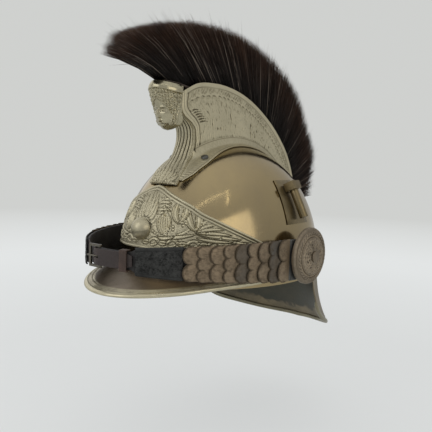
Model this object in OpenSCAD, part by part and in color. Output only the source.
// Gendarme's dress helmet: a sheet metal dome with a stamped crest, a mask, a horsehair
// brush, a front plate, a peak, a neck guard and a chin strap of scales.
// Front is -Y, the wearer's left is +X, Z is up. Z = 0 is the plane of the head opening
// and X = Y = 0 is the middle of the dome. Sizes are in millimetres.

/* [Dome] */
// Width of the dome over its skirt
dome_w = 202; // [192:1:212]
// Length of the dome over its skirt
dome_l = 259; // [249:1:269]
// Height of the crown above the skirt
crown_h = 128; // [122:1:134]
// Height of the upright skirt
skirt_h = 20; // [17:1:23]
// Thickness of the dome's sheet
skull_t = 1; // [0.7:0.1:1.5]
// Thickness of the stamped fittings
fitting_t = 0.9; // [0.6:0.1:1.2]
// Gap under a fitting that lies on the dome
seat_gap = 0.5; // [0.4:0.05:0.8]
// Gap between neighbours that touch face to face
fit_gap = 0.3; // [0.2:0.05:0.5]

/* [Crest] */
// Width of the crest over its rims
crest_top_w = 24; // [20:1:28]
// Width of the crest's walls where they turn out to the flange
crest_wall_w = 36; // [32:1:40]
// Width over the crest's flange
flange_w = 60; // [54:1:66]
// Height that the rims stand above their nominal line
crest_rise = 0; // [-4:0.5:4]
// Depth of the brush channel below the rims
channel_depth = 9; // [7:0.5:12]

/* [Mask and column] */
// Width of the mask over its hair
mask_w = 35; // [30:1:38]
// Height of the mask from chin to diadem
mask_h = 47; // [44:1:48]
// Width of the fluted column over its foot
column_w = 41; // [38:1:43]
// Number of flutes
flute_count = 7; // [5:1:9]
// Depth of a flute
flute_depth = 0.9; // [0.4:0.1:1.2]

/* [Brush] */
// Number of strand rows along one bunch
bunch_rows = 10; // [8:1:10]
// Number of strands across the brush
brush_across = 5; // [3:1:5]
// Radius of a strand at its root
strand_r = 1.4; // [1:0.1:1.5]
// Length that is added to every strand
strand_extra = 0; // [-10:1:10]

/* [Front plate] */
// Height of the plate's point above the head opening
plate_top = 100.5; // [96:0.5:102]
// Height of the plate's lower edge at the front
plate_low = 37; // [35:1:42]
// Radius of the grenade's ball
ball_r = 12; // [8:0.5:14]

/* [Peak] */
// Distance that the peak stands out in front of the dome
peak_reach = 49; // [44:1:52]
// Height of the peak's root above the head opening
peak_root_h = 10; // [9:1:12]
// Drop of the peak's edge at the front below its root
peak_drop = 11.5; // [9:0.5:14]
// Height of the peak's upturned root flange
peak_flange_h = 9; // [7:0.5:10]
// Width of the peak's bead
bead_w = 7; // [6:0.5:9]
// Thickness of the peak's bead
bead_t = 4.6; // [4:0.2:6]
// Thickness of the leather under the peak
lining_t = 1.2; // [0.8:0.1:1.6]

/* [Neck guard] */
// Distance that the neck guard stands out behind the dome
guard_reach = 39; // [35:1:44]
// Depth of the neck guard below the head opening at the back
guard_depth = 88; // [84:1:92]
// Half angle that the neck guard covers, from the back
guard_half_angle = 67; // [60:1:68]

/* [Plume socket] */
// Radius of the socket's bore
socket_bore_r = 3; // [2.5:0.1:3.4]
// Depth of the socket's bore
socket_bore_l = 40; // [34:1:42]
// Radius of the socket's tube
socket_tube_r = 4.6; // [4.4:0.1:5.4]

/* [Bosses] */
// Radius of a side boss
boss_r = 30; // [27:0.5:31]
// Thickness of a side boss at its edge
boss_t = 6; // [5:0.5:8]
// Radius of the studs that the strap turns on
stud_r = 3; // [2.5:0.1:3.5]
// Radial clearance of the strap on its studs
stud_clear = 0.08; // [0.05:0.01:0.1]

/* [Chin strap] */
// Gap between the dome and the strap at the studs
strap_stand = 8; // [6.5:0.5:10]
// Distance from the studs to the front of the loop
loop_reach = 180; // [176:1:184]
// Height of the strap at its rear end
strap_h_rear = 42; // [38:1:42]
// Height of the strap where the scales end
strap_h_mid = 30; // [28:1:33]
// Height of the end plate at its front
strap_h_tip = 24; // [22:1:26]
// Thickness of the strap's leather
leather_t = 2; // [1.6:0.1:2.4]
// Number of scales on each side
scale_count = 9; // [7:1:9]
// Thickness of a scale
scale_t = 0.8; // [0.6:0.1:1]
// Height of the leather straps at the front
tongue_h = 16; // [14:0.5:17]
// Length of an end plate
end_plate_l = 47; // [44:1:49]
// Length of the keeper along the strap
keeper_l = 8; // [6:0.5:9]

/* [Liner] */
// Height of the sweatband
sweatband_h = 34; // [30:1:38]
// Number of leather tongues in the liner
liner_count = 10; // [8:1:12]
// Thickness of the liner's leather
liner_t = 1.4; // [1:0.1:1.8]

/* [Hidden] */

brass = [0.62, 0.57, 0.40];
pale_brass = [0.66, 0.63, 0.50];
bronze = [0.36, 0.32, 0.27];
leather_dark = [0.12, 0.11, 0.11];
leather_brown = [0.27, 0.18, 0.16];
horsehair = [0.10, 0.07, 0.06];
steel = [0.30, 0.30, 0.30];

bunch_count = 8;

dome_a = dome_w / 2;
dome_b = dome_l / 2;
around = 48;
lift_steps = 9;

// Sum of a list of numbers
function total(v) = v * [for (x = v) 1];
function unit(v) = v / norm(v);
function mix(a, b, t) = a + (b - a) * t;
function turned(f) = [for (i = [len(f) - 1:-1:0]) f[i]];
function flat(rows) = [for (r = rows) each r];

// Smooth curve through a table of [place, value] pairs
function slot_of(x, tab, i = 0) = i >= len(tab) - 2 || x < tab[i + 1][0] ? i : slot_of(x, tab, i + 1);
function slope_at(tab, i) = let (a = max(i - 1, 0), b = min(i + 1, len(tab) - 1))
    (tab[b][1] - tab[a][1]) / (tab[b][0] - tab[a][0]);
function smooth(x, tab) =
    let (i = slot_of(x, tab), w = tab[i + 1][0] - tab[i][0])
    let (t = min(1, max(0, (x - tab[i][0]) / w)), u = 1 - t)
    u * u * (1 + 2 * t) * tab[i][1] + t * t * (3 - 2 * t) * tab[i + 1][1]
    + t * u * w * (u * slope_at(tab, i) - t * slope_at(tab, i + 1));

// Closed solid from points and faces, with the faces turned outward
module solid(points, faces) {
    tris = [for (f = faces) for (k = [1:len(f) - 2]) [f[0], f[k], f[k + 1]]];
    volume = total([for (t = tris) cross(points[t[0]], points[t[1]]) * points[t[2]]]);
    polyhedron(points, volume < 0 ? faces : [for (f = faces) turned(f)], convexity = 8);
}

// Triangles between two rows of points that start at p and q
function strip(p, q, n, wrap = false) = [
    for (j = [0:(wrap ? n - 1 : n - 2)]) let (k = (j + 1) % n)
    each [[p + j, p + k, q + k], [p + j, q + k, q + j]]
];

// Sheet between two grids of points, each a list of rows
module sheet(outer, inner, wrap = false) {
    m = len(outer);
    n = len(outer[0]);
    off = m * n;
    faces = concat(
        [for (i = [0:m - 2]) each strip(i * n, (i + 1) * n, n, wrap)],
        [for (i = [0:m - 2]) each strip(off + (i + 1) * n, off + i * n, n, wrap)],
        strip(off, 0, n, wrap),
        strip((m - 1) * n, off + (m - 1) * n, n, wrap),
        wrap ? [] : [for (i = [0:m - 2]) let (a = i * n, b = (i + 1) * n)
            each [[a, b, off + b], [a, off + b, off + a]]],
        wrap ? [] : [for (i = [0:m - 2]) let (a = i * n + n - 1, b = (i + 1) * n + n - 1)
            each [[b, a, off + a], [b, off + a, off + b]]]
    );
    solid(concat(flat(outer), flat(inner)), faces);
}

// Solid through a row of closed rings, with flat ends
module sweep(rings) {
    m = len(rings);
    n = len(rings[0]);
    faces = concat(
        [for (i = [0:m - 2]) each strip(i * n, (i + 1) * n, n, true)],
        [[for (j = [n - 1:-1:0]) j]],
        [[for (j = [0:n - 1]) (m - 1) * n + j]]
    );
    solid(flat(rings), faces);
}

// Place and turn a child so that its Z axis leaves point p along v
module aim(p, v) {
    u = unit(v);
    translate(p) rotate([0, acos(u[2]), atan2(u[1], u[0])]) children();
}

// Dome surfaces, where g is the distance outside the dome's own surface
function crown_k(z, g = 0) = z <= skirt_h ? 1 : sqrt(max(0, 1 - pow((z - skirt_h) / (crown_h + g), 2)));
function wrap_pt(a, z, g = 0) =
    [(dome_a + g) * crown_k(z, g) * sin(a), -(dome_b + g) * crown_k(z, g) * cos(a), z];
function crown_z(x, y, g = 0) =
    skirt_h + (crown_h + g) * sqrt(max(0, 1 - pow(x / (dome_a + g), 2) - pow(y / (dome_b + g), 2)));
function crown_y(x, z, g = 0) =
    (dome_b + g) * sqrt(max(0, 1 - pow(x / (dome_a + g), 2)
        - (z <= skirt_h ? 0 : pow((z - skirt_h) / (crown_h + g), 2))));
function crown_normal(p) =
    unit([p[0] / pow(dome_a, 2), p[1] / pow(dome_b, 2), max(0, p[2] - skirt_h) / pow(crown_h, 2)]);
function dome_ring(e, g) = [
    for (j = [0:around - 1]) let (a = 360 * j / around)
    [(dome_a + g) * cos(e) * sin(a), -(dome_b + g) * cos(e) * cos(a), skirt_h + (crown_h + g) * sin(e)]
];
function dome_rows(g) = concat(
    [[for (p = dome_ring(0, g)) [p[0], p[1], 0]]],
    [for (i = [0:lift_steps - 1]) dome_ring(90 * i / lift_steps, g)]
);

// Screws that hold the crest and the side studs
screw_x = 24;
screw_y = -61;
screw_r = 1.7;
screw_head_r = 4;
screw_head_h = 2.2;
screw_len = 8;
nut_r = 4;
nut_h = 2.4;
hole_clear = 0.25;
screw_spot = [screw_x, screw_y, crown_z(screw_x, screw_y)];
stud_y = 6;
stud_z = 30;
wall_x = dome_a * sqrt(1 - pow(stud_y / dome_b, 2) - pow((stud_z - skirt_h) / crown_h, 2));

module both() {
    children();
    mirror([1, 0, 0]) children();
}

module screw_hole() {
    aim(screw_spot, crown_normal(screw_spot)) translate([0, 0, -10])
        cylinder(r = screw_r + hole_clear, h = 24, $fn = 32);
}

module stud_bores(r) {
    both() translate([wall_x - 8, stud_y, stud_z]) rotate([0, 90, 0]) cylinder(r = r, h = 24, $fn = 48);
}

module skull() {
    outer = dome_rows(0);
    inner = dome_rows(-skull_t);
    m = len(outer);
    n = around;
    off = m * n;
    top = 2 * off;
    last = (m - 1) * n;
    faces = concat(
        [for (i = [0:m - 2]) each strip(i * n, (i + 1) * n, n, true)],
        [for (i = [0:m - 2]) each strip(off + (i + 1) * n, off + i * n, n, true)],
        strip(off, 0, n, true),
        [for (j = [0:n - 1]) [last + j, last + (j + 1) % n, top]],
        [for (j = [0:n - 1]) [off + last + (j + 1) % n, off + last + j, top + 1]]
    );
    points = concat(flat(outer), flat(inner),
        [[0, 0, skirt_h + crown_h], [0, 0, skirt_h + crown_h - skull_t]]);
    color(brass) difference() {
        solid(points, faces);
        both() screw_hole();
        stud_bores(stud_r + hole_clear);
        peak_rivet_holes();
        guard_rivet_holes();
    }
}

// Crest: rays fan out from a point inside the dome, and angle 0 is straight up
fan_z = 60;
crest_rim = [[-34, 161], [-28.5, 161], [-21.6, 160.5], [-12.7, 155], [3, 146], [22, 137],
    [40, 133], [54, 132.5], [65, 131.5], [74, 130.5], [82, 129]];
// The front edge as [distance along the ray, angle]
crest_edge = [[88, -41.5], [99, -41.3], [103.6, -38.3], [107, -36.2], [113, -34.3], [119.4, -32.9],
    [127.5, -33.5], [136.3, -35.2], [143.6, -35.8], [149.7, -34.7], [155, -33.2], [163, -31.5]];
crest_front = -30.6;
crest_end = 82;
crest_fade = 20;
function rim_r(f) = smooth(f, crest_rim) + crest_rise;
function fan_pt(x, r, f) = [x, r * sin(f), fan_z + r * cos(f)];
// Distance along a ray to the dome, at a given x
function ray_r(x, f, g = 0) =
    let (a = pow(sin(f) / (dome_b + g), 2) + pow(cos(f) / (crown_h + g), 2))
    let (b = 2 * cos(f) * (fan_z - skirt_h) / pow(crown_h + g, 2))
    let (c = pow((fan_z - skirt_h) / (crown_h + g), 2) - 1 + pow(x / (dome_a + g), 2))
    (-b + sqrt(b * b - 4 * a * c)) / (2 * a);

flange_out = [[-64, 0.8], [-58, 0.98], [-53, 1.03], [-46, 1.08], [-38, 1.06], [-25, 0.98], [-10, 0.92],
    [30, 0.86], [55, 0.7], [82, 0.5]];
wall_out = [[-43, 0.78], [-36, 0.8], [-30, 0.84], [-20, 0.93], [-5, 1], [30, 0.95], [60, 0.8], [82, 0.72]];
wall_steps = [0, 0.22, 0.42, 0.58, 0.72, 0.84, 0.94];
flange_steps = [0, 0.13, 0.32, 0.64, 1];
flange_curl = 8;
flare_h = 7;
lip_h = [[-64, 1.2], [-45.5, 1.6], [-41.5, 7]];
crest_x_top = crest_top_w / 2;
function flange_x(f) = flange_w / 2 * smooth(f, flange_out);
function wall_x_at(f) = min(crest_wall_w / 2 * smooth(f, wall_out), flange_x(f) - 1.5);
function crest_top_x(f) = min(crest_x_top, wall_x_at(f) - 1);

// Section of one crest side at a station: f is the angle of its rim and f_low that of its foot
function flange_section(f_low, lift, in = 0) =
    let (xw = in > 0 ? in : wall_x_at(f_low) - 0.6, xf = flange_x(f_low), g = seat_gap + fitting_t)
    [for (v = flange_steps) let (x = mix(xw, xf, v))
        [x, ray_r(x, f_low, g) + lift * pow(1 - v, flange_curl)]];
function crest_section(f, f_low) =
    let (low = flange_section(f_low, flare_h), xt = crest_top_x(f), rt = rim_r(f))
    concat([for (v = wall_steps) [mix(xt, low[0][0] - 0.9, pow(v, 1.4)), mix(rt, low[0][1], v)]], low);
function inset_2d(sec, t) = [
    for (i = [0:len(sec) - 1])
    let (a = sec[max(i - 1, 0)], b = sec[min(i + 1, len(sec) - 1)], d = unit(b - a))
    [sec[i][0] + d[1] * t, sec[i][1] - d[0] * t]
];
// The front edge is curved, so rays near it are turned by an amount that fades along the crest
function lean(f, r) = f + max(0, 1 - (f - crest_front) / crest_fade) * (smooth(r, crest_edge) - crest_front);
function crest_row(f, t) = let (f_low = lean(f, crest_edge[0][0]))
    [for (q = inset_2d(crest_section(f, f_low), t)) fan_pt(q[0], q[1], lean(f, q[1]))];
crest_fs = [for (k = [0:20]) mix(crest_front, crest_end, k / 20)];
function crest_grid(t) = [for (f = crest_fs) crest_row(f, t)];

// Apron: the flange runs on in front of the wall, beside the column
apron_front = -64;
apron_end = -43.5;
function apron_in(f) = column_w_at(fan_z + ray_r(column_w / 2, f) * cos(f)) / 2 + fit_gap + 0.5;
function apron_row(f, t) =
    [for (q = inset_2d(flange_section(f, smooth(f, lip_h), apron_in(f)), t)) fan_pt(q[0], q[1], f)];
function flange_part(row) = [for (i = [len(wall_steps):len(row) - 1]) row[i]];
function apron_grid(t) = concat(
    [for (k = [0:5]) apron_row(mix(apron_front, apron_end, k / 5), t)],
    [for (k = [0:1]) flange_part(crest_row(crest_fs[k], t))]
);
module crest_side() {
    difference() {
        union() {
            sheet(crest_grid(0), crest_grid(fitting_t));
            sheet(apron_grid(0), apron_grid(fitting_t));
        }
        screw_hole();
    }
}
module crest_left() color(pale_brass) crest_side();
module crest_right() color(pale_brass) mirror([1, 0, 0]) crest_side();

// Plate that closes the crest at its rear end
tail_t = 1;
module crest_tail() {
    f = crest_end + 0.25;
    low = ray_r(0, f, seat_gap);
    high = rim_r(crest_end) - 0.5;
    hw = crest_top_x(crest_end);
    color(pale_brass) translate([0, 0, fan_z]) rotate([90 - f, 0, 0])
        translate([0, 0, -tail_t]) linear_extrude(tail_t) union() {
            translate([-hw, low]) square([2 * hw, high - low - hw / 2]);
            translate([0, high - hw / 2 - 0.01]) intersection() {
                circle(r = hw, $fn = 48);
                translate([-hw, 0]) square([2 * hw, hw / 2]);
            }
        }
}

// Channel between the rims, with the brush's base in it
channel_t = 1;
base_h = 5;
channel_f0 = -24;
channel_f1 = crest_end - 3;
function channel_x(f) = crest_top_x(f) - fitting_t - fit_gap - 0.8;
function channel_ring(f, r0, r1, xr) = [
    fan_pt(-xr, r0, f), fan_pt(xr, r0, f), fan_pt(xr, r1, f), fan_pt(-xr, r1, f)
];
channel_fs = [for (k = [0:18]) mix(channel_f0, channel_f1, k / 18)];
module crest_channel() {
    color(pale_brass) sweep([for (f = channel_fs) let (r = rim_r(f) - channel_depth)
        channel_ring(f, r - channel_t, r, channel_x(f))]);
}

// Line of the brush's base: over the mask at the front, then between the rims
base_line = [[-36, 184], [-32, 175.5], [-29, 168.5], [-26, 162.5], [-21.6, 158.5], [-12.7, 152.5],
    [3, 143.5], [22, 134.5], [40, 130.5], [54, 130], [65, 129], [74, 128], [82, 127]];
base_f0 = -36;
base_f1 = 79;
function base_top(f) = smooth(f, base_line) + crest_rise;
function base_low(f) = max(base_top(f) - slice_t - fit_gap - base_h, rim_r(f) - channel_depth + fit_gap,
    f < -30.5 ? (mask_foot_z + mask_h + fit_gap - fan_z) / cos(f) : 0);
function base_x(f) = min(channel_x(f) - 0.2, 9);
base_fs = [for (k = [0:24]) mix(base_f0, base_f1, k / 24)];
module brush_base() {
    color(leather_brown) sweep([for (f = base_fs)
        channel_ring(f, base_low(f), base_top(f) - slice_t - fit_gap, base_x(f))]);
}

// Brush: every strand runs from the base line to the tip line, so that none cross
slice_t = 2.4;
root_in = 1;
tip_line_y = [[0, -170], [0.05, -160], [0.14, -121], [0.32, -49], [0.52, 38], [0.72, 125], [0.86, 168],
    [0.94, 183], [1, 174]];
tip_line_z = [[0, 224], [0.05, 244], [0.14, 261], [0.32, 274], [0.52, 269], [0.72, 231], [0.86, 174],
    [0.94, 142], [1, 88]];
strand_spread = 1.7;
strand_bow = 6;
strand_sides = 3;
rows_total = bunch_count * bunch_rows;
function root_f(s) = mix(base_f0 + 0.8, base_f1 - 0.8, s);
row_scatter = 0.2;
function uneven(i, j) = sin(i * 137 + j * 71);
function at_bunch_end(i) = i % bunch_rows == 0 || i % bunch_rows == bunch_rows - 1;
function strand_path(i, j) =
    let (s = (i + 0.5 + (at_bunch_end(i) ? 0 : row_scatter * uneven(i, j))) / rows_total, f = root_f(s))
    let (x = base_x(f) * 0.86 * (2 * (j + 0.5) / brush_across - 1))
    let (a = fan_pt(x, base_top(f) - root_in, f))
    let (b0 = [x * strand_spread, smooth(s, tip_line_y), smooth(s, tip_line_z)])
    let (d = unit(b0 - a), b = b0 + d * (strand_extra - 3 + 3 * uneven(j + 5, i)))
    let (mid = (a + b) / 2 + strand_bow * unit(cross(d, [1, 0, 0])) * (s < 0.5 ? -1 : 1) * abs(2 * s - 1))
    [a, mid, b];
function strand_ring(p, d, r) =
    let (u = unit(cross(d, [1, 0, 0])), w = unit(cross(d, u)))
    [for (k = [0:strand_sides - 1]) let (q = 360 * k / strand_sides) p + r * (cos(q) * u + sin(q) * w)];
module strand(i, j) {
    p = strand_path(i, j);
    d = unit(p[2] - p[0]);
    n = strand_sides;
    points = concat(strand_ring(p[0], d, strand_r), strand_ring(p[1], d, strand_r * 0.7), [p[2]]);
    faces = concat([[for (k = [n - 1:-1:0]) k]], strip(0, n, n, true),
        [for (k = [0:n - 1]) [n + k, n + (k + 1) % n, 2 * n]]);
    solid(points, faces);
}
module brush_bunch(b) {
    gap = 0.15;
    fs = [for (k = [0:6]) mix(root_f(b / bunch_count) + gap, root_f((b + 1) / bunch_count) - gap, k / 6)];
    color(horsehair) union() {
        sweep([for (f = fs) channel_ring(f, base_top(f) - slice_t, base_top(f), base_x(f))]);
        for (i = [b * bunch_rows:(b + 1) * bunch_rows - 1]) for (j = [0:brush_across - 1]) strand(i, j);
    }
}

// Mask: rings from the chin up to the diadem, each [share of height, middle y, half width, half depth]
mask_foot_z = 158;
mask_rings = [
    [0, -93.5, 0.30, 4.5], [0.05, -92.5, 0.48, 8], [0.14, -92, 0.66, 12], [0.26, -91.5, 0.76, 14],
    [0.34, -91.5, 0.80, 15.5], [0.44, -91.5, 0.86, 15.5], [0.56, -92, 0.95, 17], [0.70, -92.5, 1, 19],
    [0.83, -93, 1, 19.5], [0.92, -93, 0.95, 18.5], [1, -92, 0.78, 15]
];
nose_out = [[0.14, 0], [0.26, 2.5], [0.34, 5], [0.44, 2], [0.5, 0]];
module crest_mask() {
    n = 20;
    rings = [for (m = mask_rings)
        let (z = mask_foot_z + mask_h * m[0], back = smooth(z, column_front) - fit_gap)
        [for (k = [0:n - 1]) let (a = 360 * k / n, front = pow(max(0, cos(a)), 14))
            [mask_w / 2 * m[2] * sin(a),
             min(back, m[1] - m[3] * cos(a) - front * smooth(m[0], nose_out) * 0.8), z]]];
    color(pale_brass) sweep(rings);
}

// Column: fluted shell from the front plate's point up behind the mask
column_front = [[101, -105.5], [107, -101], [113, -96], [119, -90.5], [125, -85.5], [131, -81.5],
    [137, -78.5], [145, -75.2], [153, -73.8], [161, -75.4], [168, -80.5], [175, -86.5], [185, -89.5],
    [203, -90]];
column_edge = [[101, -98], [110, -91], [118, -83], [125, -76], [130, -70.5], [136, -67.6], [141, -66],
    [147, -65.4], [154, -65.9], [160, -67], [166, -72.6], [171, -80.4], [176, -85.4], [183, -86.2],
    [203, -86.5]];
column_out = [[101, 1], [110, 0.96], [118, 0.85], [125, 0.71], [133, 0.62], [141, 0.61], [163, 0.61],
    [172, 0.59], [188, 0.56], [203, 0.5]];
column_zs = [101, 109, 117, 125, 133, 141, 147, 153, 158, 163, 168, 173, 179, 189, 203];
column_steps = 28;
function column_w_at(z) = column_w * smooth(z, column_out);
function column_row(z, t) =
    let (ye = min(smooth(z, column_edge), -crown_y(column_w_at(z) / 2, z, seat_gap + 0.6)),
         yf = min(smooth(z, column_front), -crown_y(0, z, seat_gap + fitting_t + 1.2)))
    let (deep = flute_depth * smooth(z, [[101, 1], [155, 1], [168, 0.3], [203, 0]]))
    [for (k = [0:column_steps]) let (a = mix(-90, 90, k / column_steps))
        let (w = deep * 0.5 * (1 - cos(360 * flute_count * k / column_steps)))
        [(column_w_at(z) / 2 - w - t) * sin(a), ye - (ye - yf - w) * cos(a) + t, z]];
module crest_column() {
    color(pale_brass)
        sheet([for (z = column_zs) column_row(z, 0)], [for (z = column_zs) column_row(z, fitting_t)]);
}

module crest_screws() {
    color(steel) both() aim(screw_spot, crown_normal(screw_spot))
        translate([0, 0, seat_gap + fitting_t + 2 * fit_gap]) {
            translate([0, 0, -screw_len]) cylinder(r = screw_r, h = screw_len + 0.5, $fn = 32);
            intersection() {
                translate([0, 0, screw_head_h - screw_head_r * 1.4]) sphere(r = screw_head_r * 1.4, $fn = 48);
                cylinder(r = screw_head_r, h = screw_head_h, $fn = 48);
            }
        }
}
module crest_nuts() {
    color(steel) both() aim(screw_spot, crown_normal(screw_spot))
        translate([0, 0, -skull_t - 1 - nut_h]) difference() {
            cylinder(r = nut_r, h = nut_h, $fn = 6);
            translate([0, 0, -1]) cylinder(r = screw_r, h = nut_h + 2, $fn = 32);
        }
}

// Front plate: lies on the dome, its top edge falls away to the sides
plate_edge = [[0, 1], [6, 0.97], [12, 0.91], [21, 0.82], [30, 0.72], [37, 0.61], [44, 0.525], [54, 0.39],
    [65, 0.23], [72, 0.115], [78, 0.02]];
plate_half_angle = 77;
plate_low_side = 34;
ball_z = 56;
function plate_z_low(a) = mix(plate_low, plate_low_side, abs(a) / plate_half_angle);
function plate_z_top(a) = plate_z_low(a) + 1.5 + (plate_top - plate_low - 1.5) * smooth(abs(a), plate_edge);
function plate_grid(g) = [
    for (k = [-12:12]) let (a = plate_half_angle * k / 12)
    [for (v = [0:0.125:1]) wrap_pt(a, mix(plate_z_low(a), plate_z_top(a), v), g)]
];
module front_plate() {
    color(pale_brass) union() {
        sheet(plate_grid(seat_gap + fitting_t), plate_grid(seat_gap));
        difference() {
            translate([0, -crown_y(0, ball_z, seat_gap), ball_z]) sphere(r = ball_r, $fn = 40);
            sheet(ball_core_grid(seat_gap + 0.2), ball_core_grid(-1.5 * ball_r));
        }
    }
}
// Inside of the dome behind the ball
function ball_core_grid(g) = [
    for (a = [-12:3:12]) [for (k = [-4:4]) wrap_pt(a, ball_z + 4 * k, g)]
];

// Peak: from an upturned flange on the skirt out to the beaded edge
peak_half_angle = 86;
peak_steps = 22;
bead_steps = 20;
peak_side_out = 3.5;
peak_y0 = -3;
peak_side_drop = 2;
function peak_root(a, g) = [(dome_a + g) * sin(a), -(dome_b + g) * cos(a), peak_root_h];
function peak_edge(a) = [
    (dome_a + peak_side_out) * sin(a), peak_y0 - (dome_b + peak_reach + peak_y0) * cos(a),
    peak_root_h - mix(peak_side_drop, peak_drop, pow(cos(a), 2))
];
function peak_pt(a, v) =
    let (g = seat_gap + fitting_t, p = peak_root(a, g), q = peak_edge(a), bulge = 3 * v * (1 - v) * cos(a))
    mix(p, q, v) + [0, 0, bulge];
function peak_row(a, low) = concat(
    [wrap_pt(a, peak_root_h + peak_flange_h, seat_gap + (low ? 0 : fitting_t))],
    [wrap_pt(a, peak_root_h + (low ? 0.2 : 1.2), seat_gap + (low ? 0 : fitting_t))],
    [for (v = [0.12, 0.35, 0.6, 0.82, 1]) peak_pt(a, v) - [0, 0, low ? fitting_t : 0]]
);
peak_angles = [for (k = [-peak_steps:peak_steps]) peak_half_angle * k / peak_steps];
module peak() {
    color(brass) difference() {
        sheet([for (a = peak_angles) peak_row(a, false)], [for (a = peak_angles) peak_row(a, true)]);
        peak_rivet_holes();
    }
}
function lining_row(a, low) = [
    for (v = [0.1, 0.35, 0.6, 0.8]) peak_pt(a, v) - [0, 0, fitting_t + fit_gap + (low ? lining_t : 0)]
];
lining_half_angle = 70;
module peak_lining() {
    angles = [for (k = [-12:12]) lining_half_angle * k / 12];
    color(leather_dark)
        sheet([for (a = angles) lining_row(a, false)], [for (a = angles) lining_row(a, true)]);
}

// Bead folded over a sheet's edge: u runs out from the edge, w across the sheet
slot_half = fitting_t / 2 + 0.2;
bead_grip = 2.6;
function bead_section() =
    let (h = bead_t / 2, back = -(bead_w - h))
    [[-bead_grip, slot_half], [back, h * 0.55], [back * 0.5, h], [h * 0.2, h * 0.85], [h, 0],
     [h * 0.2, -h * 0.85], [back * 0.5, -h], [-bead_grip, -slot_half], [0.3, -slot_half], [0.3, slot_half]];
function bead_ring(p, d, n, k = 1) = [for (s = bead_section()) p + s[0] * d + s[1] * n];
module peak_bead() {
    rings = [for (k = [-bead_steps:bead_steps]) let (a = peak_half_angle * k / peak_steps)
        let (q = peak_edge(a) - [0, 0, fitting_t / 2], d = unit(peak_edge(a) - peak_pt(a, 0.82)))
        let (n = unit([-d[0] * d[2], -d[1] * d[2], d[0] * d[0] + d[1] * d[1]]))
        bead_ring(q, d, n)];
    color(pale_brass) sweep(rings);
}

// Neck guard: from the skirt down, then flaring out behind
guard_rim = [[0, 1], [20, 0.95], [40, 0.80], [52, 0.67], [60, 0.5], [65, 0.28], [68, 0.1]];
guard_seam_h = 9;
function guard_z(a) = -guard_depth * smooth(abs(a), guard_rim);
function guard_pt(a, v, g) =
    let (z0 = guard_seam_h, z = mix(-1, guard_z(a), v), fall = max(0, -z - 8) / (guard_depth - 8))
    let (out = guard_reach * pow(cos(a), 1.6) * pow(fall, 1.7) + 2.5 * pow(fall, 0.7))
    let (s = [sin(a), cos(a)])
    [(dome_a + g) * s[0] + out * s[0], (dome_b + g) * s[1] + out * s[1], z];
function guard_row(a, g) = concat(
    [for (z = [guard_seam_h, 3]) [(dome_a + g) * sin(a), (dome_b + g) * cos(a), z]],
    [for (v = [0, 0.2, 0.4, 0.6, 0.8, 1]) guard_pt(a, v, g)]
);
guard_steps = 16;
guard_angles = [for (k = [-guard_steps:guard_steps]) guard_half_angle * k / guard_steps];
module neck_guard() {
    color(brass) difference() {
        sheet([for (a = guard_angles) guard_row(a, seat_gap + fitting_t)],
            [for (a = guard_angles) guard_row(a, seat_gap)]);
        guard_rivet_holes();
    }
}
module neck_guard_bead() {
    m = guard_steps - 1;
    g = seat_gap + fitting_t / 2;
    rings = [for (k = [-m:m]) let (a = guard_half_angle * k / guard_steps)
        let (q = guard_pt(a, 1, g), d = unit(q - guard_pt(a, 0.8, g)))
        let (t = unit(guard_pt(a + 0.5, 1, g) - guard_pt(a - 0.5, 1, g)))
        let (n = unit(cross(t, d)))
        bead_ring(q, d, n)];
    color(brass) sweep(rings);
}

// Rivets through the skirt
rivet_r = 1.4;
rivet_head_r = 2.6;
rivet_head_h = 1.2;
peak_rivet_angles = [-70, -42, -14, 14, 42, 70];
guard_rivet_angles = [-60, -30, 0, 30, 60];
peak_rivet_z = peak_root_h + peak_flange_h / 2 + 0.5;
guard_rivet_z = guard_seam_h / 2 + 0.5;
module at_peak_rivets() {
    for (a = peak_rivet_angles) {
        p = wrap_pt(a, peak_rivet_z);
        aim(p, crown_normal([p[0], p[1], skirt_h])) children();
    }
}
module at_guard_rivets() {
    for (a = guard_rivet_angles) {
        p = wrap_pt(180 + a, guard_rivet_z);
        aim(p, crown_normal([p[0], p[1], skirt_h])) children();
    }
}
module rivet() {
    outer = seat_gap + fitting_t + 0.3;
    inner = skull_t + 0.5;
    translate([0, 0, -inner - 0.4]) cylinder(r = rivet_r, h = outer + inner + 0.8, $fn = 32);
    translate([0, 0, outer]) cylinder(r1 = rivet_head_r, r2 = rivet_head_r * 0.6, h = rivet_head_h, $fn = 32);
    translate([0, 0, -inner - 0.8]) cylinder(r = rivet_head_r, h = 0.8, $fn = 32);
}
module rivet_hole() translate([0, 0, -6]) cylinder(r = rivet_r + hole_clear, h = 12, $fn = 32);
module peak_rivet_holes() at_peak_rivets() rivet_hole();
module guard_rivet_holes() at_guard_rivets() rivet_hole();
module peak_rivets() color(brass) at_peak_rivets() rivet();
module guard_rivets() color(brass) at_guard_rivets() rivet();

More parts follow.
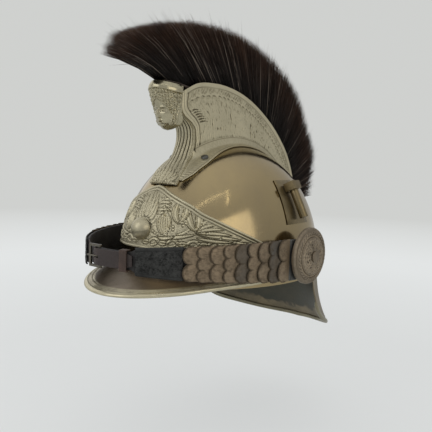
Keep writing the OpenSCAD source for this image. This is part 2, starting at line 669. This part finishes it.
// Plume socket on the left of the dome
collar_w = 16;
collar_d = 12;
collar_h = 9;
socket_angle = 97;
socket_low_z = 66;
socket_high_z = 104;
socket_margin = 4;
socket_base = wrap_pt(socket_angle, socket_low_z, seat_gap + fitting_t + fit_gap);
socket_top = wrap_pt(socket_angle, socket_high_z, seat_gap + fitting_t + fit_gap);
socket_dir = unit(socket_top - socket_base);
socket_side = unit(cross(socket_dir, crown_normal((socket_base + socket_top) / 2)));
socket_normal = unit(cross(socket_side, socket_dir));
socket_len = norm(socket_top - socket_base);
socket_stand = socket_tube_r + 2.6;
socket_origin = socket_base + socket_normal * socket_stand;
function socket_plate_grid(g) = [
    for (k = [-3:3]) [for (v = [0:0.2:1])
        let (z = mix(socket_low_z - socket_margin, socket_high_z + socket_margin, v))
        wrap_pt(socket_angle + 3.4 * k, z, g)]
];
module socket_plate() {
    color(brass) sheet(socket_plate_grid(seat_gap + fitting_t), socket_plate_grid(seat_gap));
}
module along_socket() {
    multmatrix([
        [socket_side[0], socket_normal[0], socket_dir[0], socket_origin[0]],
        [socket_side[1], socket_normal[1], socket_dir[1], socket_origin[1]],
        [socket_side[2], socket_normal[2], socket_dir[2], socket_origin[2]],
        [0, 0, 0, 1]
    ]) children();
}
module socket_tube() {
    color(brass) along_socket() difference() {
        cylinder(r = socket_tube_r, h = socket_len, $fn = 64);
        translate([0, 0, socket_len - socket_bore_l])
            cylinder(r = socket_bore_r, h = socket_bore_l + 1, $fn = 64);
    }
}
module socket_collar() {
    color(brass) along_socket() translate([0, 0, socket_len - collar_h - 1]) difference() {
        translate([-collar_w / 2, -collar_d / 2, 0]) cube([collar_w, collar_d, collar_h]);
        translate([0, 0, -1]) cylinder(r = socket_tube_r + 0.1, h = collar_h + 2, $fn = 64);
    }
}

// Side bosses, their studs, spacers and nuts, drawn on the left and mirrored
spacer_r = 11;
nut_in = 1.5;
spacer_out = wall_x + 0.8;
strap_in = wall_x + strap_stand;
loop_half_w = strap_in + leather_t / 2;
strap_out = strap_in + leather_t;
boss_in = strap_out + scale_t + 1.6;
dome_rise = 4;
boss_clear = 0.05;
spacer_clear = 0.2;
module at_stud(x) translate([x, stud_y, stud_z]) rotate([0, 90, 0]) children();
module boss() {
    h = boss_t;
    at_stud(boss_in) rotate_extrude($fn = 96) difference() {
        polygon([[stud_r + boss_clear, 0], [boss_r - 2, 0], [boss_r, 1.5], [boss_r, h - 2],
            [boss_r - 1.5, h - 0.5], [boss_r - 4, h - 0.5], [boss_r - 4.5, h + 1.2], [boss_r - 7, h + 1.6],
            [boss_r - 7.5, h + 0.6], [boss_r - 9.5, h + 0.8], [boss_r - 10, h + 2.2], [8, h + dome_rise],
            [stud_r + boss_clear, h + dome_rise + 0.4]]);
        translate([boss_r - 8.5, h + 1.4]) circle(r = 0.8, $fn = 24);
    }
}
module stud() {
    inner = wall_x - skull_t - nut_in - nut_h - 2;
    at_stud(inner) cylinder(r = stud_r, h = boss_in + boss_t + dome_rise + 0.4 - inner, $fn = 48);
    at_stud(boss_in + boss_t + dome_rise + 0.7) cylinder(r = 6, h = 1.6, $fn = 48);
    at_stud(boss_in + boss_t + dome_rise) cylinder(r = stud_r, h = 1, $fn = 48);
}
module spacer() {
    at_stud(spacer_out) difference() {
        cylinder(r = spacer_r, h = strap_in - fit_gap - spacer_out, $fn = 64);
        translate([0, 0, -1]) cylinder(r = stud_r + spacer_clear, h = 30, $fn = 48);
    }
}
module stud_nut() {
    at_stud(wall_x - skull_t - nut_in - nut_h) difference() {
        cylinder(r = 6.5, h = nut_h, $fn = 6);
        translate([0, 0, -1]) cylinder(r = stud_r, h = nut_h + 2, $fn = 48);
    }
}
module boss_left() color(bronze) boss();
module boss_right() color(bronze) mirror([1, 0, 0]) boss();
module stud_left() color(bronze) stud();
module stud_right() color(bronze) mirror([1, 0, 0]) stud();
module spacer_left() color(brass) spacer();
module spacer_right() color(brass) mirror([1, 0, 0]) spacer();
module stud_nut_left() color(steel) stud_nut();
module stud_nut_right() color(steel) mirror([1, 0, 0]) stud_nut();

// Chin strap: an ellipse in plan from stud to stud, angle 0 at the left stud and 90 at the front
strap_rise = 0.03;
strap_sag = 3.5;
arc_steps = 120;
function loop_pt(a, off = 0) = [
    (loop_half_w + off) * cos(a), stud_y - (loop_reach + off) * sin(a),
    stud_z - strap_sag + strap_rise * loop_reach * sin(a)
];
function loop_dir(a) = unit([-loop_half_w * sin(a), -loop_reach * cos(a), 0]);
function loop_out(a) = let (d = loop_dir(a)) [-d[1], d[0], 0];
function arc_table(i = 0, s = 0, acc = []) =
    i > arc_steps ? acc
    : let (a = 180 * i / arc_steps, b = 180 * (i + 1) / arc_steps, step = norm(loop_pt(b) - loop_pt(a)))
    arc_table(i + 1, s + step, concat(acc, [[s, a]]));
arc = arc_table();
function at_arc(s) = lookup(s, arc);
function band_h(s) = lookup(s, [
    [0, strap_h_rear], [scales_start + 1, strap_h_rear], [scales_end, strap_h_mid],
    [plate_end, strap_h_tip], [plate_end + neck_l, tongue_h + 1], [4 * loop_reach, tongue_h + 1]
]);
function band_pt(s, off, k) =
    let (a = at_arc(s)) loop_pt(a) + loop_out(a) * off + [0, 0, k * band_h(s) / 2];
function stations(s0, s1, n) = [for (i = [0:n]) mix(s0, s1, i / n)];
function band_rings(ss, in, out, grow = 0) = [
    for (s = ss) let (k = 1 + grow / band_h(s))
    [band_pt(s, in, -k), band_pt(s, out, -k), band_pt(s, out, k), band_pt(s, in, k)]
];

scales_start = 29;
neck_l = 5;
scale_pitch = 12.9;
scales_end = scales_start + scale_pitch * scale_count;
plate_end = scales_end + end_plate_l;
half_loop = lookup(90, [for (p = arc) [p[1], p[0]]]);
lean_gap = 0.35;
eye_r = 15;
strap_start = 10;

// Leather under the scales, with an eye that turns on the stud
module strap_side(end) {
    ss = concat([strap_start, 2 * strap_start], stations(scales_start + 1, min(end, plate_end), 18),
        end > plate_end ? stations(plate_end + neck_l, end, 5) : []);
    difference() {
        union() {
            sweep(band_rings(ss, -leather_t / 2, leather_t / 2));
            at_stud(strap_in) cylinder(r = eye_r, h = leather_t, $fn = 64);
            translate([strap_in, stud_y - strap_start - 2, stud_z - strap_sag - strap_h_rear / 2])
                cube([leather_t, strap_start + 2, strap_h_rear / 2 + strap_sag]);
        }
        at_stud(strap_in - 4) cylinder(r = stud_r + stud_clear, h = leather_t + 8, $fn = 48);
    }
}
// Buckle at the front: the left strap holds its heel bar and the tongue comes from the right
bar_r = 1.2;
bar_clear = 0.08;
buckle_l = 14;
heel_wall = 1.2;
ear_wall = 0.5;
ear_proud = 0.2;
frame_t = 2.2;
tongue_t = 1.8;
prong_r = 0.8;
prong_ring_r = 2.1;
prong_ring_h = 3;
over_gap = 0.4;
heel_ahead = 5;
prong_slot_out = 9;
prong_slot_deep = 12;
heel_s = half_loop + heel_ahead;
heel_a = at_arc(heel_s);
bar_a = at_arc(heel_s + buckle_l);
heel_p = loop_pt(heel_a);
buckle_dir = unit(loop_pt(bar_a) - heel_p - [0, 0, (loop_pt(bar_a) - heel_p)[2]]);
buckle_out = [-buckle_dir[1], buckle_dir[0], 0];
frame_hz = tongue_h / 2 + 0.5 + over_gap + bar_r;
bar_lift = tongue_t / 2 + over_gap + bar_r + 0.5;
module at_frame(p, d, n) {
    multmatrix([[d[0], n[0], 0, p[0]], [d[1], n[1], 0, p[1]], [0, 0, 1, p[2]], [0, 0, 0, 1]]) children();
}
module at_heel() at_frame(heel_p, buckle_dir, buckle_out) children();

module strap_left() {
    color(leather_brown) difference() {
        union() {
            strap_side(heel_s - 1.5);
            at_heel() translate([0, 0, -band_h(heel_s) / 2])
                cylinder(r = bar_r + heel_wall, h = band_h(heel_s), $fn = 48);
        }
        at_heel() translate([0, 0, -20]) cylinder(r = bar_r + bar_clear, h = 40, $fn = 48);
        at_heel() translate([-prong_ring_r - 0.6, -prong_slot_deep / 2, -prong_ring_h / 2 - 0.4])
            cube([prong_slot_deep, prong_slot_deep, prong_ring_h + 0.8]);
    }
}
module buckle_frame() {
    tilt = atan(bar_lift / buckle_l);
    len_x = norm([buckle_l, bar_lift]);
    color(brass) at_heel() {
        rotate([0, 0, tilt]) translate([0, frame_t / 2, 0]) rotate([90, 0, 0]) linear_extrude(frame_t)
            difference() {
                translate([0, -frame_hz - bar_r]) square([len_x + bar_r, 2 * (frame_hz + bar_r)]);
                translate([-1, -frame_hz + bar_r]) square([len_x + 1 - bar_r, 2 * (frame_hz - bar_r)]);
            }
        translate([0, 0, -frame_hz]) cylinder(r = bar_r, h = 2 * frame_hz, $fn = 48);
        both_ends(frame_hz) translate([0, 0, -bar_r - ear_proud])
            cylinder(r = bar_r + ear_wall, h = 2 * (bar_r + ear_proud), $fn = 48);
    }
}
module both_ends(z) {
    translate([0, 0, z]) children();
    translate([0, 0, -z]) children();
}
prong_tip = [buckle_l + 1.6, bar_lift + bar_r + 0.9 + prong_r];
prong_root = [1, prong_ring_r - prong_r];
module buckle_prong() {
    run = prong_tip - prong_root;
    color(brass) at_heel() difference() {
        union() {
            translate([0, 0, -prong_ring_h / 2]) cylinder(r = prong_ring_r, h = prong_ring_h, $fn = 48);
            translate([prong_root[0], prong_root[1], 0]) rotate([0, 90, atan2(run[1], run[0])])
                cylinder(r = prong_r, h = norm(run), $fn = 32);
        }
        translate([0, 0, -10]) cylinder(r = bar_r + bar_clear, h = 20, $fn = 48);
    }
}

// Tongue from the right: under the front bar, over the heel bar, along the left strap
keeper_s = plate_end + 11.5;
keeper_travel = 8;
tongue_tip = plate_end + 3.5;
loop_end = lookup(180, [for (p = arc) [p[1], p[0]]]);
tongue_root = loop_end - plate_end + 4 - fit_gap;
over_a = leather_t / 2 + over_gap;
over_bar = bar_r + heel_wall + over_gap;
tongue_off = [[tongue_tip, over_a], [heel_s - 9, over_a], [heel_s - 1, over_bar], [heel_s + 2, over_bar],
    [heel_s + buckle_l - 2, -tongue_t / 2], [loop_end, -tongue_t / 2]];
tongue_ss = concat(stations(tongue_tip, heel_s - 9, 3), stations(heel_s - 6.8, heel_s + 17.4, 11),
    stations(heel_s + 23, tongue_root, 6));
tongue_flare = 12;
function tongue_hz(s) = lookup(s, [[tongue_tip, tongue_h / 2 - 3], [tongue_tip + 5, tongue_h / 2],
    [tongue_root - tongue_flare, tongue_h / 2], [tongue_root, band_h(plate_end) / 2]]);
function tongue_ring(s) =
    let (a = at_arc(s), o = lookup(s, tongue_off), n = loop_out(a), p = loop_pt(a), h = [0, 0, tongue_hz(s)])
    [p + n * o - h, p + n * (o + tongue_t) - h, p + n * (o + tongue_t) + h, p + n * o + h];
hole_pitch = 9;
hole_r = 1.3;
prong_slot_in = 3.2;
module strap_tongue() {
    color(leather_dark) difference() {
        sweep([for (s = tongue_ss) tongue_ring(s)]);
        at_heel() translate([-prong_slot_in, -2, -prong_r - 0.5])
            cube([prong_slot_in + prong_slot_out, prong_slot_deep, 2 * prong_r + 1]);
        for (k = [2:4]) let (s = heel_s + 12 + hole_pitch * k, a = at_arc(s))
            at_frame(loop_pt(a), loop_dir(a), loop_out(a)) rotate([-90, 0, 0]) translate([0, 0, -6])
                cylinder(r = hole_r, h = prong_slot_deep, $fn = 32);
    }
}
keeper_mid = at_arc(keeper_s + keeper_travel / 2);
keeper_dir = loop_dir(keeper_mid);
keeper_out = loop_out(keeper_mid);
keeper_clear = 0.7;
keeper_wall = 1.2;
module strap_keeper() {
    in = -leather_t / 2 - keeper_clear;
    out = over_a + tongue_t + keeper_clear;
    hz = band_h(keeper_s) / 2 + 0.5;
    p = loop_pt(keeper_mid) - keeper_dir * (keeper_travel / 2 + keeper_l / 2);
    color(leather_brown) at_frame(p, keeper_dir, keeper_out) difference() {
        translate([0, in - keeper_wall, -hz - keeper_wall])
            cube([keeper_l, out - in + 2 * keeper_wall, 2 * (hz + keeper_wall)]);
        translate([-1, in, -hz]) cube([keeper_l + 2, out - in, 2 * hz]);
    }
}

module strap_right() color(leather_dark) mirror([1, 0, 0]) strap_side(plate_end - 4);

// One scale: a plate with lobes on its front edge, alternately two and three
module scale_plate(i) {
    s0 = scales_start + scale_pitch * i;
    mid = s0 + scale_pitch / 2;
    a = at_arc(mid);
    h = band_h(mid) + 1.5;
    lobes = 2 + (i % 2);
    lobe_r = h / lobes / 2;
    over = 3.2;
    body = scale_pitch + over - lobe_r * 0.8;
    d = loop_dir(a);
    n = loop_out(a);
    tilt = atan((scale_t + lean_gap) / scale_pitch);
    p = loop_pt(a) + n * (leather_t / 2 + lean_gap + scale_t * 0.9);
    multmatrix([[d[0], 0, n[0], p[0]], [d[1], 0, n[1], p[1]], [0, 1, 0, p[2]], [0, 0, 0, 1]])
        rotate([0, -tilt, 0]) translate([-scale_pitch / 2, 0, 0]) linear_extrude(scale_t) union() {
            translate([0, -h / 2]) square([body, h]);
            for (k = [0:lobes - 1]) translate([body, -h / 2 + lobe_r * (2 * k + 1)])
                intersection() {
                    circle(r = lobe_r * 0.999, $fn = 32);
                    translate([0, -lobe_r]) square([lobe_r, 2 * lobe_r]);
                }
        }
}
module scales() for (i = [0:scale_count - 1]) scale_plate(i);
module scales_left() color(bronze) scales();
module scales_right() color(bronze) mirror([1, 0, 0]) scales();

end_plate_t = 1.1;
module end_plate() {
    low = leather_t / 2 + lean_gap;
    sweep(band_rings(stations(scales_end + 4.2, plate_end, 8), low, low + end_plate_t, 0.5));
}
module end_plate_left() color(steel) end_plate();
module end_plate_right() color(steel) mirror([1, 0, 0]) end_plate();

module strap_collar() {
    low = leather_t / 2 + lean_gap;
    sweep(band_rings(stations(eye_r + 0.5, scales_start - 1, 3), low, low + scale_t));
}
module strap_collar_left() color(bronze) strap_collar();
module strap_collar_right() color(bronze) mirror([1, 0, 0]) strap_collar();

module sweatband() {
    zs = stations(3, 3 + sweatband_h, 3);
    function g(z) = mix(-skull_t - 2, liner_g0, (z - 3) / sweatband_h);
    outer = [for (z = zs) [for (j = [0:around - 1]) wrap_pt(360 * j / around, z, g(z))]];
    inner = [for (z = zs) [for (j = [0:around - 1]) wrap_pt(360 * j / around, z, g(z) - liner_t)]];
    color(leather_brown) sheet(outer, inner, true);
}

// Leather tongues that rise from the sweatband, and the cord that draws them together
liner_z0 = 3 + sweatband_h + fit_gap;
liner_z1 = 117;
liner_g0 = -skull_t - 9.7;
liner_g1 = -17;
liner_fill = 0.86;
function liner_pt(a, v, g) = wrap_pt(a, mix(liner_z0, liner_z1, v), mix(liner_g0, liner_g1, v) + g);
function liner_grid(c, g) = [
    for (k = [-1:1]) [for (v = [0, 0.2, 0.4, 0.6, 0.8, 0.92, 1])
        liner_pt(c + 180 / liner_count * liner_fill * k * (1 - 0.45 * v), v, g)]
];
module liner_tongues() {
    color(leather_brown) for (i = [0:liner_count - 1]) let (c = 360 * (i + 0.5) / liner_count)
        sheet(liner_grid(c, 0), liner_grid(c, -liner_t));
}
cord_r = 1;
cord_z = liner_z1 - 4;
module liner_cord() {
    m = 36;
    n = 6;
    v = (cord_z - liner_z0) / (liner_z1 - liner_z0);
    g = mix(liner_g0, liner_g1, v) + 0.6 + cord_r;
    rings = [for (i = [0:m - 1]) let (a = 360 * i / m, p = wrap_pt(a, cord_z, g), q = unit([p[0], p[1], 0]))
        [for (k = [0:n - 1]) p + cord_r * (cos(60 * k) * q + [0, 0, sin(60 * k)])]];
    color(leather_brown)
        solid(flat(rings), [for (i = [0:m - 1]) each strip(i * n, ((i + 1) % m) * n, n, true)]);
}

skull();
crest_left();
crest_right();
crest_tail();
crest_channel();
crest_mask();
crest_column();
crest_screws();
crest_nuts();
brush_base();
brush_bunch(0);  // brush_bunch_1
brush_bunch(1);  // brush_bunch_2
brush_bunch(2);  // brush_bunch_3
brush_bunch(3);  // brush_bunch_4
brush_bunch(4);  // brush_bunch_5
brush_bunch(5);  // brush_bunch_6
brush_bunch(6);  // brush_bunch_7
brush_bunch(7);  // brush_bunch_8
front_plate();
peak();
peak_bead();
peak_lining();
peak_rivets();
neck_guard();
neck_guard_bead();
guard_rivets();
socket_plate();
socket_tube();
socket_collar();
boss_left();
boss_right();
stud_left();
stud_right();
spacer_left();
spacer_right();
stud_nut_left();
stud_nut_right();
strap_left();
strap_right();
scales_left();
scales_right();
end_plate_left();
end_plate_right();
strap_collar_left();
strap_collar_right();
strap_tongue();
buckle_frame();
buckle_prong();
strap_keeper();
sweatband();
liner_tongues();
liner_cord();
